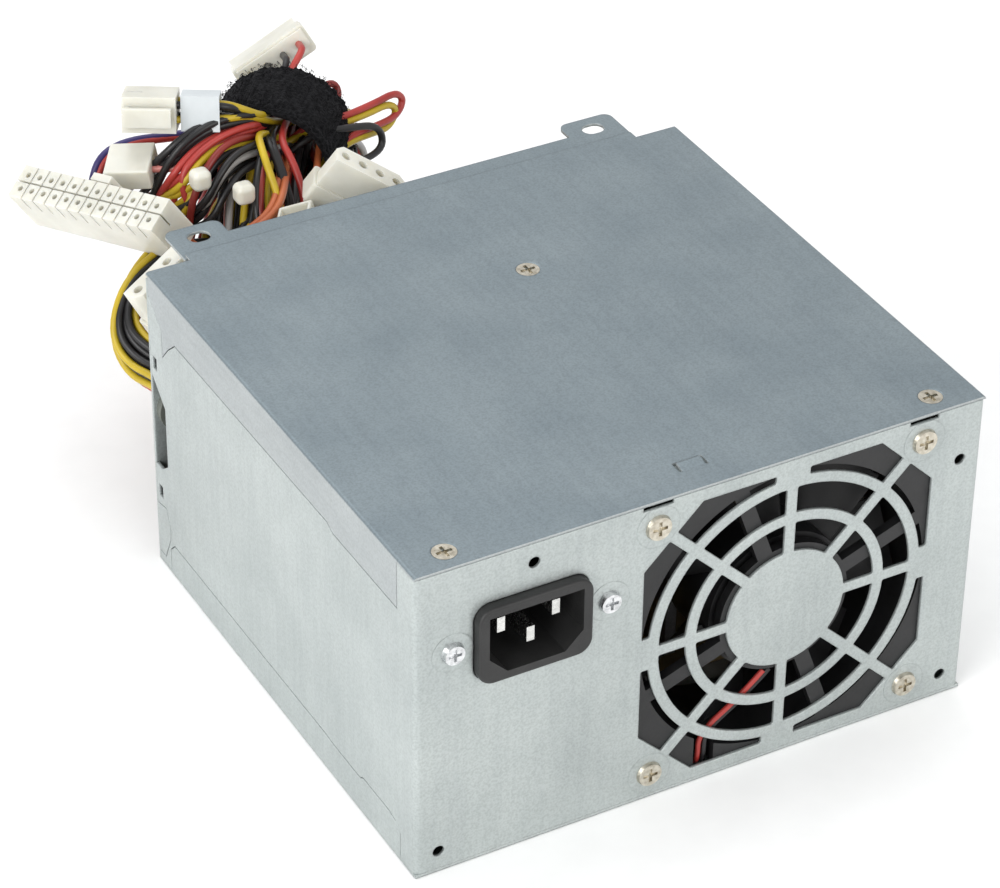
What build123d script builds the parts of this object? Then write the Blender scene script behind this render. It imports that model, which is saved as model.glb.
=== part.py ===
from build123d import *
import os
from math import tan, radians

os.makedirs("parts", exist_ok=True)

# Computer power supply in the standard 150 x 140 x 86 mm case.  Millimetres.
# Origin: middle of the bottom face.  +Z up, the panel with grille and inlet faces -Y, wires leave at +Y.

# ---- driving dimensions -------------------------------------------------------------------------
WIDTH, DEPTH, HEIGHT = 150.0, 140.0, 86.0
SHEET = 0.8
GAP = 0.25                      # seam between two sheets that lie flush
HAIRLINE = 0.02
HALF_W, HALF_D = WIDTH / 2, DEPTH / 2

MOUNT_HOLES = [(-69, 6), (-45, 80), (69, 70), (69, 6)]          # x, z of the 6-32 case screws
MOUNT_R = 1.5
FAN_X, FAN_Z, FAN_SIZE, FAN_DEPTH, FAN_PITCH = 22.5, 43.0, 80.0, 25.0, 71.5
INLET_X, INLET_Z, INLET_PITCH = -45.5, 62.4, 40.0
BEZEL_W, BEZEL_H, BEZEL_OUT, BEZEL_R = 29.2, 21.0, 2.6, 4.0
SOCKET_W, SOCKET_H, SOCKET_DEEP = 24.0, 16.0, 16.0

HUB_R, INNER_RING_R, OUTER_RING_R, BAR = 16.0, 25.7, 35.8, 2.7   # grille pressed in the panel
GRILLE_HALF, GRILLE_CHAMFER = 39.0, 15.0

BAND = 12.3                     # how far the cover's side bands come down
FLANGE = 9.6                    # how far the base's side flanges come up
STRIP_BACK, EAR_BACK, EAR_X, EAR_W = 79.0, 85.4, 56.0, 15.0
COVER_SCREWS = [(-64.4, -64.0), (63.4, -64.0), (7.7, 27.8)]

BOARD_Z, BOARD_T = 6.0, 1.6
FAN_FRONT = -HALF_D + SHEET
FOLD_Y = -HALF_D + 1.8          # just behind the curve of the panel's folds
SIDE_SHORT = 0.9                # the sides stop this far short of the rear wall's face
OUTLET_X, OUTLET_Z, OUTLET_W, OUTLET_H = -60.5, 45.6, 24.2, 10.2


def write(piece, label):
    piece.part.label = label
    export_step(piece.part, f"parts/{label}.step")


def side_polygon(points, x, grow=0.0):
    """The given (y, z) outline, grown evenly by a small amount, as a sketch in the side plane at x."""
    with BuildSketch(Plane(origin=(x, 0, 0), x_dir=(0, 1, 0), z_dir=(1, 0, 0))) as outline:
        Polygon(*points, align=None)
        if grow:
            offset(amount=grow, kind=Kind.INTERSECTION)
    return outline.sketch


def round_corner_radii(points):
    """The largest even arcs for a route: 0.45 of the shorter run, over the tangent of half the turn."""
    route = [Vector(*p) for p in points]
    radii = []
    for before, here, after in zip(route, route[1:], route[2:]):
        turn = (here - before).get_angle(after - here)
        shorter = min((here - before).length, (after - here).length)
        radii.append(0.45 * shorter / tan(radians(turn) / 2))
    return radii


def tube(points, radius, label):
    """A round tube of straight runs joined by tangent arcs."""
    radii = round_corner_radii(points)
    print(label, "arc radii", [round(r, 1) for r in radii])
    with BuildPart() as lead:
        with BuildLine() as path:
            FilletPolyline(*points, radius=radii)
        with BuildSketch(Plane(origin=path.line @ 0, z_dir=path.line % 0)):
            Circle(radius)
        sweep(path=path.line)
    write(lead, label)


# ---- casing -------------------------------------------------------------------------------------
top_z = HEIGHT - SHEET
band_z = HEIGHT - BAND
# outline of a cover band: (y, z), from its front end round its lower edge to the rear seam
band = [(-61.6, HEIGHT), (-61.6, 72.8), (-30.3, 72.8), (-27.4, 74.2), (54.4, band_z), (58.5, 70.2),
        (62, 66.1), (62, 73.1), (69.0, 80.2), (69.0, HEIGHT)]
# outline of a base flange: (y, z), with its rounded front end and half-sheared notch
flange = [(-62.5, 0), (-62.5, 8.0), (-60.2, 10.2), (-56.9, 10.9), (-44.1, 10.8), (-42.5, 9.8), (-28.6, 9.8),
          (-24.7, 10.1), (60.0, FLANGE), (62.5, 7.2), (62.5, 0)]
tongue = [(69.3, 17.8), (64.5, 18.7), (62.3, 14.2), (62.7, 9.9), (66.0, 3.0), (69.3, 3.0)]
wire_notch = [(70, 57.9), (65.4, 53.6), (62.0, 50.5), (62.0, 33.0), (65.5, 30.2), (70, 30.2)]


with BuildPart() as chassis_wrap:
    # panel and both sides are one sheet, folded twice
    with BuildSketch(Plane.XY.offset(SHEET)) as plan:
        with Locations((0, -SIDE_SHORT / 2)):
            Rectangle(WIDTH, DEPTH - SIDE_SHORT)
        corners = plan.vertices().group_by(Axis.Y)[0]
        fillet(corners, radius=1.6)
        with Locations((0, SHEET)):
            Rectangle(WIDTH - 2 * SHEET, DEPTH, mode=Mode.SUBTRACT)
    extrude(amount=top_z - SHEET)
    # the sides step inwards by one sheet behind the cover's bands and the base's flanges
    for outline, low, high in ((band, band_z - 2, top_z), (flange, SHEET, FLANGE + 2)):
        for x in (-HALF_W - 1, HALF_W - SHEET):
            extrude(side_polygon(outline, x, GAP), amount=SHEET + 1, mode=Mode.SUBTRACT)
        for side in (-HALF_W + 1.5 * SHEET, HALF_W - 1.5 * SHEET):
            with Locations((side, 3.0, (low + high) / 2)):
                Box(SHEET, 131.4, high - low)
    for x in (-HALF_W - 1, HALF_W - SHEET):
        extrude(side_polygon(tongue, x, GAP), amount=SHEET + 1, mode=Mode.SUBTRACT)
    # cut away on the wire side so that the bush can be pushed in
    extrude(side_polygon(wire_notch, -HALF_W - 1), amount=2 * SHEET + 2, mode=Mode.SUBTRACT)
    for z in (61.2, 22.6):
        with Locations((-HALF_W + SHEET / 2, 67.0, z)):
            Box(SHEET * 2, 2.2, 3.6, mode=Mode.SUBTRACT)
    # tapped flange under the cover's front edge, clear of the sides
    with Locations((0, -HALF_D + 6.4, top_z - SHEET / 2)):
        Box(WIDTH - 2 * SHEET - 2.0, 11.4, SHEET)
    with Locations(*[(x, y, top_z) for x, y in COVER_SCREWS[:2]]):
        Hole(1.45)
    # faint pads pressed round the screws
    panel = Plane(origin=(0, -HALF_D, 0), x_dir=(1, 0, 0), z_dir=(0, -1, 0))
    with BuildSketch(panel):
        with Locations((INLET_X - 20, INLET_Z), (INLET_X + 20, INLET_Z)):
            Circle(5.2)
        with Locations((FAN_X, FAN_Z)):
            with GridLocations(FAN_PITCH, FAN_PITCH, 2, 2):
                Circle(5.6)
    extrude(amount=0.12)
    # the grille: everything in the square opening that isn't a ring, hub or spoke
    with BuildSketch(panel.offset(1)) as grille:
        with Locations((FAN_X, FAN_Z)):
            Rectangle(2 * GRILLE_HALF, 2 * GRILLE_HALF)
            chamfer(grille.vertices(), GRILLE_CHAMFER)
            for ring in (OUTER_RING_R, INNER_RING_R):
                Circle(ring + BAR / 2, mode=Mode.SUBTRACT)
                Circle(ring - BAR / 2)
            Circle(HUB_R, mode=Mode.SUBTRACT)
            for turn in (0, 45, 90, 135):
                Rectangle(2.6 * GRILLE_HALF, BAR, rotation=turn, mode=Mode.SUBTRACT)
            # wider bridges carry the outer ring at top, bottom, left and right
            with PolarLocations(OUTER_RING_R + 3, 4):
                Rectangle(9, 9, mode=Mode.SUBTRACT)
        fillet(grille.vertices(), radius=0.5)
    extrude(amount=-SHEET - 2, mode=Mode.SUBTRACT)
    # inlet opening and every screw hole in the panel
    with BuildSketch(panel.offset(1)):
        with Locations((INLET_X, INLET_Z)):
            RectangleRounded(BEZEL_W + 0.4, BEZEL_H + 0.4, BEZEL_R + 0.2)
            with GridLocations(INLET_PITCH, 1, 2, 1):
                Circle(1.6)
        with Locations((FAN_X, FAN_Z)):
            with GridLocations(FAN_PITCH, FAN_PITCH, 2, 2):
                Circle(2.2)
        with Locations(*MOUNT_HOLES):
            Circle(MOUNT_R)
        with Locations((-13.3, top_z), (58, top_z)):
            Rectangle(8, 2.4)
    extrude(amount=-SHEET - 1.2, mode=Mode.SUBTRACT)
    # panel and sides are kept as three flat solids, parted by a hairline just behind each fold
    with Locations((-HALF_W, FOLD_Y, HEIGHT / 2), (HALF_W, FOLD_Y, HEIGHT / 2)):
        Box(4 * SHEET - 0.4, HAIRLINE, HEIGHT, mode=Mode.SUBTRACT)
write(chassis_wrap, "chassis_wrap")
print("chassis_wrap solids", len(chassis_wrap.part.solids()))

with BuildPart() as top_cover:
    with Locations((0, 0.05, top_z + SHEET / 2)):
        Box(WIDTH, DEPTH - 0.1, SHEET)
    for side in (-HALF_W, HALF_W - SHEET):
        extrude(side_polygon(band, side), amount=SHEET)
    long_edges = top_cover.edges().filter_by(Axis.Y).group_by(Axis.Z)[-1]
    fillet(long_edges, radius=0.75)
    # rear edge: past the corners, stepped down by one sheet to the strip that carries the ears
    with Locations((0, HALF_D + 1.4, top_z + SHEET / 2)):
        Box(126, 3.2, SHEET)
    with BuildSketch(Plane.XY.offset(top_z - SHEET)) as strip:
        with Locations((0, (HALF_D + 1.8 + STRIP_BACK) / 2)):
            Rectangle(127, STRIP_BACK - HALF_D - 1.8)
        for side in (-EAR_X, EAR_X):
            with Locations((side, EAR_BACK - 6)):
                RectangleRounded(EAR_W, 12, 2.4)
        with Locations((-EAR_X, STRIP_BACK + 1), (EAR_X, STRIP_BACK + 1)):
            SlotOverall(6.0, 4.8, mode=Mode.SUBTRACT)
    extrude(amount=SHEET)
    with Locations(*[(x, y, HEIGHT) for x, y in COVER_SCREWS]):
        CounterSinkHole(1.7, 3.1, counter_sink_angle=90)
    # small tab lanced in the front edge: a slit on three sides
    for x, y, w, h in ((0.3, -59.4, 7.6, 0.7), (-3.2, -60.9, 0.7, 3.4), (3.8, -60.9, 0.7, 3.4)):
        with Locations((x, y, top_z)):
            Box(w, h, 3 * SHEET, mode=Mode.SUBTRACT)
    # the tab itself, bent up a little at its free end
    with Locations(Location((0.3, -61.2, HEIGHT - 0.1), (12, 0, 0))):
        Box(6.3, 3.0, 0.7)
write(top_cover, "top_cover")

with BuildPart() as base_and_rear:
    with Locations((0, 0, SHEET / 2)):
        Box(WIDTH, DEPTH, SHEET)
    with Locations((0, HALF_D - SHEET / 2, HEIGHT / 2 - 0.7)):
        Box(WIDTH, SHEET, HEIGHT - 1.9)
    for side in (-HALF_W, HALF_W - SHEET):
        for outline in (flange, tongue):
            extrude(side_polygon(outline, side), amount=SHEET)
    rear = Plane(origin=(0, HALF_D, 0), x_dir=(-1, 0, 0), z_dir=(0, 1, 0))
    with BuildSketch(rear.offset(1)):
        # open-ended notch for the wire bush
        with Locations((-OUTLET_X, OUTLET_Z)):
            SlotOverall(OUTLET_W, OUTLET_H)
        # rows of vent slots
        with Locations((-20, 42)):
            with GridLocations(11, 6.5, 8, 9):
                SlotOverall(9, 3.2)
    extrude(amount=-SHEET - 2, mode=Mode.SUBTRACT)
write(base_and_rear, "base_and_rear")


def cross_head(radius):
    """Cross recess cut in a screw head, on the current plane."""
    Rectangle(radius * 1.15, radius * 0.26)
    Rectangle(radius * 0.26, radius * 1.15)


with BuildPart() as cover_screws:
    for x, y in COVER_SCREWS:
        with BuildSketch(Plane.XY.offset(HEIGHT - 0.1)):
            with Locations((x, y)):
                Circle(2.9)
        extrude(amount=-0.66, taper=52)
        with BuildSketch(Plane.XY.offset(HEIGHT - 0.76)):
            with Locations((x, y)):
                Circle(1.4)
        extrude(amount=-4.6)
        with BuildSketch(Plane.XY.offset(HEIGHT)):
            with Locations((x, y)):
                cross_head(3.4)
        extrude(amount=-1.0, mode=Mode.SUBTRACT)
write(cover_screws, "cover_screws")

# ---- fan: frame, motor and the wheel that turns ---------------------------------------------------
LEAD_X = FAN_X - 20.2            # where the fan's lead goes down
fan_plane = Plane(origin=(FAN_X, FAN_FRONT + 0.05, FAN_Z), x_dir=(1, 0, 0), z_dir=(0, -1, 0))
BORE_R, BLADE_R, CUP_R, SHAFT_R = 38.6, 36.4, 18.5, 1.5

with BuildPart() as fan_frame:
    with BuildSketch(fan_plane):
        RectangleRounded(FAN_SIZE, FAN_SIZE, 3)
        Circle(BORE_R, mode=Mode.SUBTRACT)
        with GridLocations(FAN_PITCH, FAN_PITCH, 2, 2):
            Circle(2.1, mode=Mode.SUBTRACT)
    extrude(amount=-FAN_DEPTH)
    # corners stay full depth only as posts; the walls are relieved between the two flanges
    with BuildSketch(fan_plane.offset(-4)):
        Rectangle(FAN_SIZE + 1, FAN_SIZE + 1)
        Circle(BORE_R + 1.6, mode=Mode.SUBTRACT)
        with GridLocations(FAN_PITCH, FAN_PITCH, 2, 2):
            Circle(4.0, mode=Mode.SUBTRACT)
    extrude(amount=-(FAN_DEPTH - 8), mode=Mode.SUBTRACT)
    # motor base on four arms
    with BuildSketch(fan_plane):
        for turn in (20, 110):
            Rectangle(2 * BORE_R + 1, 4, rotation=turn)
        Circle(17.5)
    extrude(amount=-2.4)
    with BuildSketch(fan_plane.offset(-2.4)):
        Circle(4.4)
    extrude(amount=-14.6)
    with BuildSketch(fan_plane.offset(-2.4)):
        Circle(3.0)
    extrude(amount=-14.6, mode=Mode.SUBTRACT)
    # notch that lets the lead out at the bottom
    with Locations((LEAD_X, FAN_FRONT + 2.5, 8)):
        Box(5.6, 5.6, 13, mode=Mode.SUBTRACT)
write(fan_frame, "fan_frame")

with BuildPart() as fan_bearing:
    with BuildSketch(fan_plane.offset(-2.4)):
        Circle(3.0)
        Circle(SHAFT_R + 0.05, mode=Mode.SUBTRACT)
    extrude(amount=-14.6)
write(fan_bearing, "fan_bearing")

with BuildPart() as fan_stator:
    with BuildSketch(fan_plane.offset(-5)):
        Circle(7)
        for turn in (0, 90):
            Rectangle(26, 5, rotation=turn)
        with PolarLocations(12.6, 4):
            RectangleRounded(2.6, 12, 1.2)
        Circle(4.4, mode=Mode.SUBTRACT)
    extrude(amount=-9)
write(fan_stator, "fan_stator")

with BuildPart() as fan_magnet:
    with BuildSketch(fan_plane.offset(-4)):
        Circle(CUP_R - 1.4)
        Circle(CUP_R - 3.4, mode=Mode.SUBTRACT)
    extrude(amount=-13)
write(fan_magnet, "fan_magnet")

with BuildPart() as fan_rotor:
    with BuildSketch(fan_plane.offset(-3.2)):
        Circle(CUP_R)
    extrude(amount=-18)
    with BuildSketch(fan_plane.offset(-3.2)):
        Circle(CUP_R - 1.4)
    extrude(amount=-15, mode=Mode.SUBTRACT)
    with BuildSketch(fan_plane.offset(-18.0)):
        Circle(SHAFT_R)
    extrude(amount=-4, mode=Mode.SUBTRACT)
    # seven twisted blades, each lofted between a root and a tip section
    for number in range(7):
        turn = 360 / 7 * number
        blade = []
        for reach, lean in ((CUP_R - 0.4, 38), (BLADE_R, 62)):
            where = Plane(fan_plane.offset(-12.2).location * Location((0, 0, 0), (0, 0, turn)))
            station = Plane(origin=where.origin + where.x_dir * reach, x_dir=where.z_dir, z_dir=where.x_dir)
            with BuildSketch(station) as section:
                Rectangle(18 if lean < 50 else 20, 1.3, rotation=lean)
            blade.append(section.sketch)
        loft(sections=[part_section.face() for part_section in blade])
write(fan_rotor, "fan_rotor")

with BuildPart() as fan_shaft:
    with BuildSketch(fan_plane.offset(-3.0)):
        Circle(SHAFT_R)
    extrude(amount=-18.2)
write(fan_shaft, "fan_shaft")


def panel_screws(places, head_r, head_h, shank_r, length, label):
    """Pan-head cross screws put in from outside the panel."""
    with BuildPart() as screws:
        for x, z in places:
            with BuildSketch(panel.offset(0.14)):
                with Locations((x, z)):
                    Circle(head_r)
            extrude(amount=head_h, taper=18)
            with BuildSketch(panel.offset(0.14)):
                with Locations((x, z)):
                    Circle(shank_r)
            extrude(amount=-length)
            with BuildSketch(panel.offset(0.14 + head_h)):
                with Locations((x, z)):
                    cross_head(head_r)
            extrude(amount=-0.8 * head_h, mode=Mode.SUBTRACT)
    write(screws, label)


fan_corners = [(FAN_X + i * FAN_PITCH / 2, FAN_Z + k * FAN_PITCH / 2) for i in (-1, 1) for k in (-1, 1)]
panel_screws(fan_corners, 3.3, 0.9, 2.05, 9.5, "fan_screws")
inlet_corners = [(INLET_X - INLET_PITCH / 2, INLET_Z), (INLET_X + INLET_PITCH / 2, INLET_Z)]
panel_screws(inlet_corners, 2.9, 1.3, 1.45, 6.5, "inlet_screws")

# ---- mains inlet ----------------------------------------------------------------------------------


def socket_outline(width, height, cut):
    """A rectangle with its two bottom corners cut off."""
    w, h = width / 2, height / 2
    Polygon((-w, h), (w, h), (w, -h + cut), (w - cut, -h), (-w + cut, -h), (-w, -h + cut), align=None)


inlet_plane = Plane(origin=(INLET_X, -HALF_D, INLET_Z), x_dir=(1, 0, 0), z_dir=(0, -1, 0))
with BuildPart() as inlet_housing:
    with BuildSketch(inlet_plane.offset(-SHEET)):
        RectangleRounded(50, 22, 3)
        with GridLocations(INLET_PITCH, 1, 2, 1):
            Circle(1.45, mode=Mode.SUBTRACT)
    extrude(amount=-2.8)
    with BuildSketch(inlet_plane.offset(-SHEET)):
        socket_outline(28, 20, 4.6)
    extrude(amount=SHEET - 21)
    with BuildSketch(inlet_plane.offset(BEZEL_OUT)):
        RectangleRounded(BEZEL_W, BEZEL_H, BEZEL_R)
    extrude(amount=-BEZEL_OUT - SHEET)
    front_rim = inlet_housing.faces().sort_by(Axis.Y)[0].edges()
    fillet(front_rim, radius=0.7)
    with BuildSketch(inlet_plane.offset(BEZEL_OUT)):
        socket_outline(SOCKET_W, SOCKET_H, 4.6)
    extrude(amount=-SOCKET_DEEP - BEZEL_OUT, mode=Mode.SUBTRACT)
    with BuildSketch(inlet_plane.offset(-SOCKET_DEEP)):
        with Locations((-7, 2.2), (7, 2.2), (0, -2.2)):
            Rectangle(2, 4)
    extrude(amount=-8, mode=Mode.SUBTRACT)
write(inlet_housing, "inlet_housing")

with BuildPart() as inlet_pins:
    for x, z, reach in ((-7, 2.2, 1.4), (7, 2.2, 1.4), (0, -2.2, 0.4)):
        with BuildSketch(inlet_plane.offset(-reach)):
            with Locations((x, z)):
                Rectangle(2, 4)
        extrude(amount=-28.4 + reach)
write(inlet_pins, "inlet_pins")

# ---- circuit board and what stands on it ------------------------------------------------------------
deck = BOARD_Z + BOARD_T
with BuildPart() as insulating_sheet:
    with Locations((0, 12, SHEET + 0.15)):
        Box(138, 104, 0.3)
write(insulating_sheet, "insulating_sheet")

BOARD_FIX = [(-66, -36), (66, -36), (-66, 58), (66, 58)]
with BuildPart() as circuit_board:
    with Locations((0, 12, BOARD_Z + BOARD_T / 2)):
        Box(140, 104, BOARD_T)
    with Locations(*[(x, y, deck) for x, y in BOARD_FIX]):
        Hole(1.6)
write(circuit_board, "circuit_board")

with BuildPart() as board_screws:
    for x, y in BOARD_FIX:
        with BuildSketch(Plane.XY.offset(SHEET + 0.3)):
            with Locations((x, y)):
                RegularPolygon(3, 6)
        extrude(amount=BOARD_Z - SHEET - 0.3)
        with BuildSketch(Plane.XY.offset(BOARD_Z)):
            with Locations((x, y)):
                Circle(1.5)
        extrude(amount=BOARD_T)
        with BuildSketch(Plane.XY.offset(deck)):
            with Locations((x, y)):
                Circle(2.9)
        extrude(amount=1.8, taper=14)
write(board_screws, "board_screws")


def heatsink(x, top, reach, label):
    """An upright plate along Y with fins folded out over its top; fins point towards `reach`."""
    with BuildPart() as sink:
        with Locations((x, 10, (deck + top) / 2)):
            Box(3, 88, top - deck)
        for step in range(8):
            with Locations((x + reach * 7.5, -30 + step * 11.4, top - 10)):
                Box(15, 2.2, 20)
    write(sink, label)


heatsink(-24, 72, -1, "heatsink_primary")
SECOND_TOP = 70.0
heatsink(14, SECOND_TOP, 1, "heatsink_secondary")

with BuildPart() as cover_post:
    with BuildSketch(Plane.XY.offset(deck)):
        with Locations(COVER_SCREWS[2]):
            RegularPolygon(4, 6)
            Circle(1.45, mode=Mode.SUBTRACT)
    extrude(amount=top_z - 0.02 - deck)
write(cover_post, "cover_post")

with BuildPart() as power_transistors:
    for x, side in ((-24, 1), (14, -1)):
        for y in (-22, -4, 48):
            with Locations((x + side * 3.75, y, 28)):
                Box(4.5, 10, 16)
write(power_transistors, "power_transistors")

with BuildPart() as bulk_capacitors:
    for y in (-8, 26):
        with BuildSketch(Plane.XY.offset(deck)):
            with Locations((-57, y)):
                Circle(12.5)
        extrude(amount=36)
    fillet(bulk_capacitors.edges().filter_by(GeomType.CIRCLE), radius=1.0)
write(bulk_capacitors, "bulk_capacitors")


def transformer(x, y, width, length, height, label):
    """A wound core: ferrite E-halves round a taped winding, one block."""
    with BuildPart() as core:
        with Locations((x, y, deck + height / 2)):
            Box(width, length * 0.42, height)
            Box(width * 0.62, length, height * 0.74)
        fillet(core.edges().filter_by(Axis.Z), radius=0.8)
    write(core, label)


transformer(-4.5, -13, 25, 30, 34, "main_transformer")
transformer(-6, 54, 16, 18, 20, "standby_transformer")

with BuildPart() as output_choke:
    with BuildSketch(Plane(origin=(46, -8, deck + 13), x_dir=(1, 0, 0), z_dir=(0, 1, 0))):
        Circle(13)
        Circle(5.5, mode=Mode.SUBTRACT)
    extrude(amount=13)
    fillet(output_choke.edges().filter_by(GeomType.CIRCLE), radius=2.4)
write(output_choke, "output_choke")

with BuildPart() as line_filter:
    with Locations((-51.5, -31, deck + 9)):
        Box(22, 12, 18)
    with BuildSketch(Plane(origin=(-57, 42, deck + 10), x_dir=(1, 0, 0), z_dir=(0, 1, 0))):
        Circle(10)
        Circle(4, mode=Mode.SUBTRACT)
    extrude(amount=9)
write(line_filter, "line_filter")

with BuildPart() as output_capacitors:
    for x, y in ((36, 26), (50, 26), (36, 42), (50, 42), (64, 34)):
        with BuildSketch(Plane.XY.offset(deck)):
            with Locations((x, y)):
                Circle(5)
        extrude(amount=20)
    fillet(output_capacitors.edges().filter_by(GeomType.CIRCLE), radius=0.6)
write(output_capacitors, "output_capacitors")

with BuildPart() as bridge_rectifier:
    with Locations((-36, -32, deck + 10)):
        Box(4.6, 20, 20)
write(bridge_rectifier, "bridge_rectifier")

with BuildPart() as film_capacitor:
    with Locations((-36.5, 52, deck + 8)):
        Box(9, 20, 16)
    fillet(film_capacitor.edges(), radius=0.8)
write(film_capacitor, "film_capacitor")

with BuildPart() as fuse:
    with BuildSketch(Plane(origin=(-40.5, -14, deck + 4), x_dir=(1, 0, 0), z_dir=(0, 1, 0))):
        Circle(2.6)
    extrude(amount=20)
write(fuse, "fuse")

# wires held inside the case
inlet_back = -HALF_D + 28.4
for offset_x, offset_z, end_x, label in ((-7, 2.2, -60, "live_lead"), (7, 2.2, -48, "neutral_lead"),
                                         (0, -2.2, -54, "ground_lead")):
    x, z = INLET_X + offset_x, INLET_Z + offset_z
    tube([(x, inlet_back, z), (x, inlet_back + 6, z), (0.6 * x + 0.4 * end_x, inlet_back + 11, z - 7),
          (0.2 * x + 0.8 * end_x, inlet_back + 11.4, z - 17), (end_x, inlet_back + 10.6, 25.6)], 1.1, label)

# fan lead: along the motor's arm, down a notch in the frame, back under it to a header on the board
lead_y = FAN_FRONT + 1.3
with BuildPart() as fan_lead:
    for side in (-0.8, 0.8):
        route = [(FAN_X - 3.0 + side, lead_y, FAN_Z - 18.4), (FAN_X - 9.0 + side, lead_y, FAN_Z - 24),
                 (LEAD_X + side, lead_y, FAN_Z - 31), (LEAD_X + side, lead_y, 5.5),
                 (LEAD_X + side, lead_y + 0.9, 2.3), (LEAD_X + side, -63, 1.7), (LEAD_X + side, -54, 1.75),
                 (LEAD_X + side, -45, 1.9), (LEAD_X + side, -42.0, 6.5), (LEAD_X + side, -39.4, deck + 4),
                 (LEAD_X + side, -36, deck + 4)]
        with BuildLine() as path:
            FilletPolyline(*route, radius=round_corner_radii(route))
        with BuildSketch(Plane(origin=path.line @ 0, z_dir=path.line % 0)):
            Circle(0.68)
        sweep(path=path.line)
write(fan_lead, "fan_lead")

with BuildPart() as fan_plug:
    with Locations((LEAD_X, -33, deck + 3.5)):
        Box(7.6, 6, 7)
    fillet(fan_plug.edges().filter_by(Axis.Y), radius=0.6)
write(fan_plug, "fan_plug")

# ---- bush in the rear wall ----------------------------------------------------------------------------
bush_plane = Plane(origin=(OUTLET_X, HALF_D, OUTLET_Z), x_dir=(-1, 0, 0), z_dir=(0, 1, 0))
with BuildPart() as wire_bush:
    for start, depth, grow in ((0, 2.5, 3.2), (-SHEET, SHEET, -0.1), (-SHEET - 2.3, 2.3, 3.2)):
        with BuildSketch(bush_plane.offset(start)):
            SlotOverall(OUTLET_W + grow, OUTLET_H + grow)
        extrude(amount=depth)
    with BuildSketch(bush_plane.offset(3)):
        SlotOverall(OUTLET_W - 3.2, OUTLET_H - 3.2)
    extrude(amount=-8, mode=Mode.SUBTRACT)
    fillet(wire_bush.faces().sort_by(Axis.Y)[-1].outer_wire().edges(), radius=0.9)
write(wire_bush, "wire_bush")

# ---- loom, hank and strap -----------------------------------------------------------------------------
# The loom leaves the bush, swings out and back, and is put away as a standing oval hank behind the case.
HANK_AT = (-8, 136, 42.5)
HANK_ALONG, HANK_ACROSS = (0.65, 0.76, 0), (0.76, -0.65, 0)
HANK_LONG, HANK_TALL, HANK_THICK = 100.0, 84.0, 34.0
hank_plane = Plane(origin=HANK_AT, x_dir=HANK_ALONG, z_dir=HANK_ACROSS)

with BuildPart() as wire_hank:
    with BuildSketch(hank_plane):
        RectangleRounded(HANK_LONG, HANK_TALL, 40)
    extrude(amount=HANK_THICK / 2, both=True)
    fillet(wire_hank.edges(), radius=11)
write(wire_hank, "wire_hank")

tube([(-60.5, HALF_D + 2.5, 45.6), (-61.6, 79.5, 45.4), (-65.8, 88, 45.8), (-67.2, 97, 51),
      (-61.5, 105, 57.5), (-51, 111, 59.5), (-41, 116, 58)], 7.5, "loom_trunk")

STRAP_AT, STRAP_R, STRAP_W, STRAP_T, STRAP_ROUND = (-8, 136, 66.5), 20.0, 25.0, 1.8, 17.5
strap_plane = Plane(origin=STRAP_AT, x_dir=HANK_ACROSS, z_dir=HANK_ALONG)
with BuildPart() as strap:
    with BuildSketch(strap_plane.offset(-STRAP_W / 2)):
        RectangleRounded(2 * STRAP_R, 2 * STRAP_R, STRAP_ROUND)
        inside = 2 * (STRAP_R - STRAP_T)
        RectangleRounded(inside, inside, STRAP_ROUND - STRAP_T, mode=Mode.SUBTRACT)
    extrude(amount=STRAP_W)
write(strap, "strap")

with BuildPart() as cable_ties:
    for place in ((-40, 114, 79), (-32, 105, 77.5)):
        with Locations(place):
            Box(5.2, 5.0, 5.6)
    fillet(cable_ties.edges(), radius=1.7)
write(cable_ties, "cable_ties")

# ---- connectors -----------------------------------------------------------------------------------------
PITCH = 4.2


def square_pin_plug(place, columns, height, label):
    """Two rows of square posts on one block, holes at the mating face; the place's +Z is the mating way."""
    with BuildPart() as plug:
        with BuildSketch(place):
            Rectangle(columns * PITCH + 1.2, 2 * PITCH + 1.2)
        extrude(amount=-height)
        with BuildSketch(place):
            with GridLocations(PITCH, PITCH, columns, 2):
                Circle(0.8)
        extrude(amount=-8, mode=Mode.SUBTRACT)
        with BuildSketch(place):
            with GridLocations(PITCH, 1, columns - 1, 1):
                Rectangle(0.5, 2 * PITCH + 1.4)
            Rectangle(columns * PITCH + 1.4, 0.5)
        extrude(amount=-5, mode=Mode.SUBTRACT)
    write(plug, label)


MAIN_LONG, MAIN_MATE = (-0.38, 0.906, -0.18), (-0.544, -0.062, 0.838)
MAIN_AT = (-67.3, 123.4, 76.4)
main_place = Plane(origin=MAIN_AT, x_dir=MAIN_LONG, z_dir=MAIN_MATE)
square_pin_plug(main_place, 12, 14, "main_plug")
ROW_HALF = PITCH + 0.6

CPU_LONG, CPU_MATE, CPU_AT = (0.1, 0.18, 0.98), (-0.85, 0.51, -0.0069), (-50, 138, 90)
cpu_place = Plane(origin=CPU_AT, x_dir=CPU_LONG, z_dir=CPU_MATE)
square_pin_plug(cpu_place, 2, 14, "cpu_plug")


def drive_plug(place, label):
    """Four-way drive plug: a flat block with two cut corners and finger grips; +Z is the mating way."""
    with BuildPart() as plug:
        with BuildSketch(place):
            with BuildLine():
                Polyline((-10.4, -3.3), (10.4, -3.3), (10.4, 1.3), (8.4, 3.3), (-8.4, 3.3), (-10.4, 1.3), close=True)
            make_face()
        extrude(amount=-16)
        with BuildSketch(place.offset(-9.5)):
            RectangleRounded(22.6, 8.2, 1.2)
        extrude(amount=-5.5)
        with BuildSketch(place):
            with GridLocations(5.08, 1, 4, 1):
                Circle(1.3)
        extrude(amount=-9, mode=Mode.SUBTRACT)
    write(plug, label)


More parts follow.
